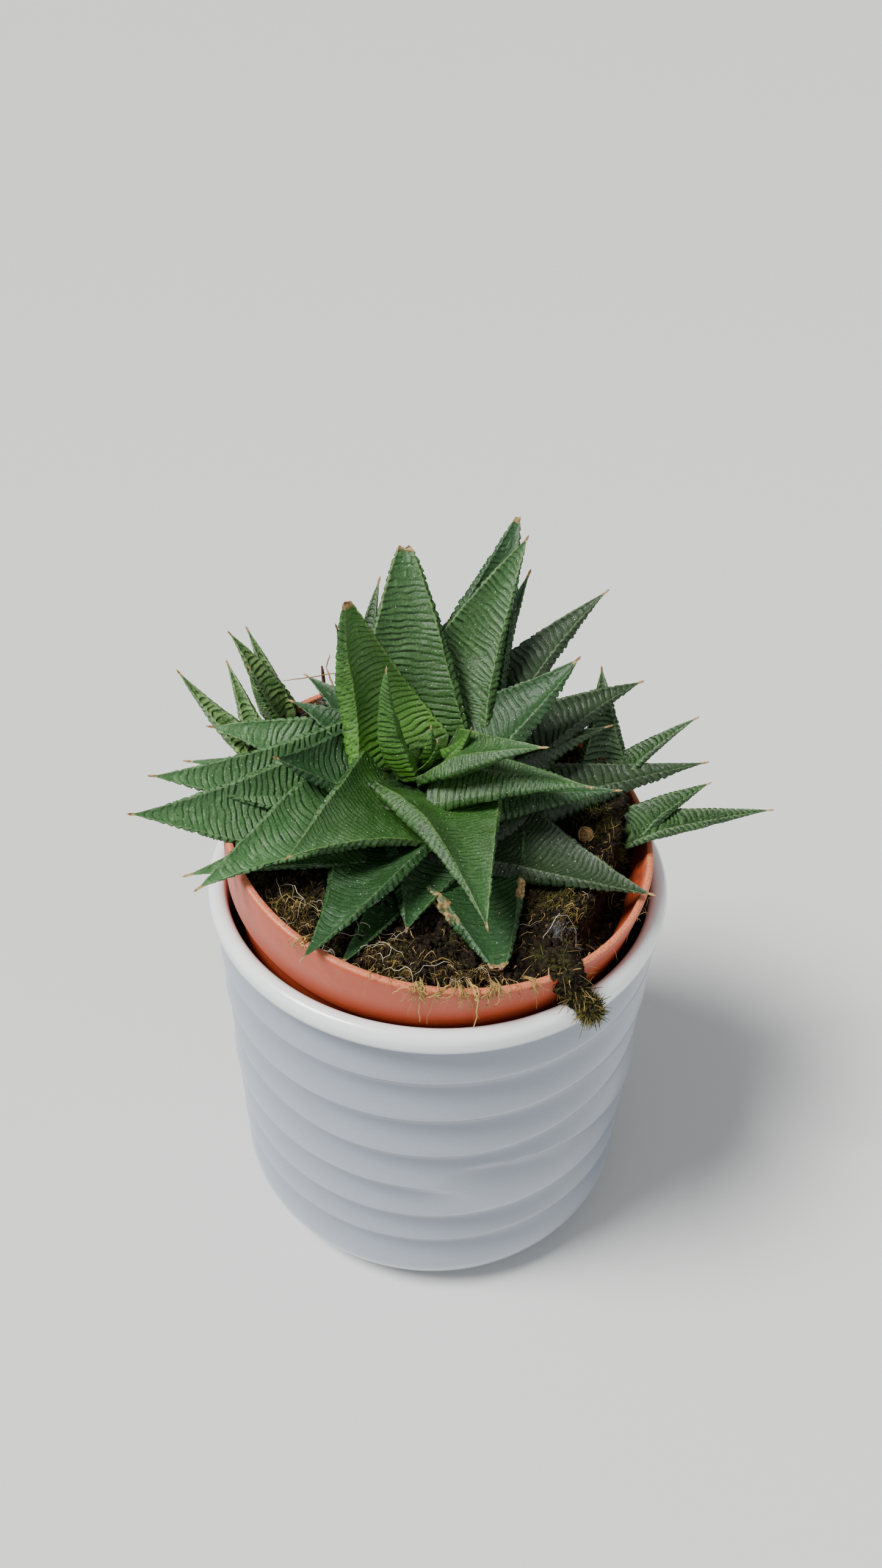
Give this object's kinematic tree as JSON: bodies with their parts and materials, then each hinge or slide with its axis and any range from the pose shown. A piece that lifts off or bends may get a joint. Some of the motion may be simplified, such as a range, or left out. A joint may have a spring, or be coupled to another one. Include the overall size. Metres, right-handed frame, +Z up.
{
  "type": "potted haworthia",
  "caption": "Potted haworthia: a rosette of ridged, toothed leaves with offsets in peat, in a leaning plastic nursery pot inside a creased glazed cover pot.",
  "frame": {"origin": "middle of the cover pot's underside", "axes": "+Z up along the cover pot's axis, -Y towards the picture's viewer, +X to that viewer's right"},
  "size_m": [0.1369, 0.106, 0.1624],
  "materials": {
    "glaze": "satin pale blue-grey glaze",
    "terracotta_plastic": "satin terracotta-coloured plastic",
    "peat": null,
    "stem_green": null,
    "leaf_young": null,
    "leaf_old": null,
    "offset_green": null
  },
  "bodies": {
    "root": {"cover_pot": "glaze", "nursery_pot": "terracotta_plastic", "soil": "peat", "stem": "stem_green", "leaf_01": "leaf_young", "leaf_02": "leaf_young", "leaf_03": "leaf_young", "leaf_04": "leaf_young", "leaf_05": "leaf_young", "leaf_06": "leaf_young", "leaf_07": "leaf_young", "leaf_08": "leaf_old", "leaf_09": "leaf_old", "leaf_10": "leaf_old", "leaf_11": "leaf_old", "leaf_12": "leaf_old", "leaf_13": "leaf_old", "leaf_14": "leaf_old", "leaf_15": "leaf_old", "leaf_16": "leaf_old", "leaf_17": "leaf_old", "leaf_18": "leaf_old", "leaf_19": "leaf_old", "leaf_20": "leaf_old", "leaf_21": "leaf_old", "leaf_22": "leaf_old", "leaf_23": "leaf_old", "leaf_24": "leaf_old", "leaf_25": "leaf_old", "leaf_26": "leaf_old", "leaf_27": "leaf_old", "leaf_28": "leaf_old", "leaf_29": "leaf_old", "leaf_30": "leaf_old", "leaf_31": "leaf_old", "leaf_32": "leaf_old", "leaf_33": "leaf_old", "leaf_34": "leaf_old", "leaf_35": "leaf_old", "leaf_36": "leaf_old", "leaf_37": "leaf_old", "offset_left": "offset_green", "offset_left_back": "offset_green", "offset_back": "offset_green", "offset_right_back": "offset_green", "offset_right": "offset_green"}
  },
  "joints": []
}
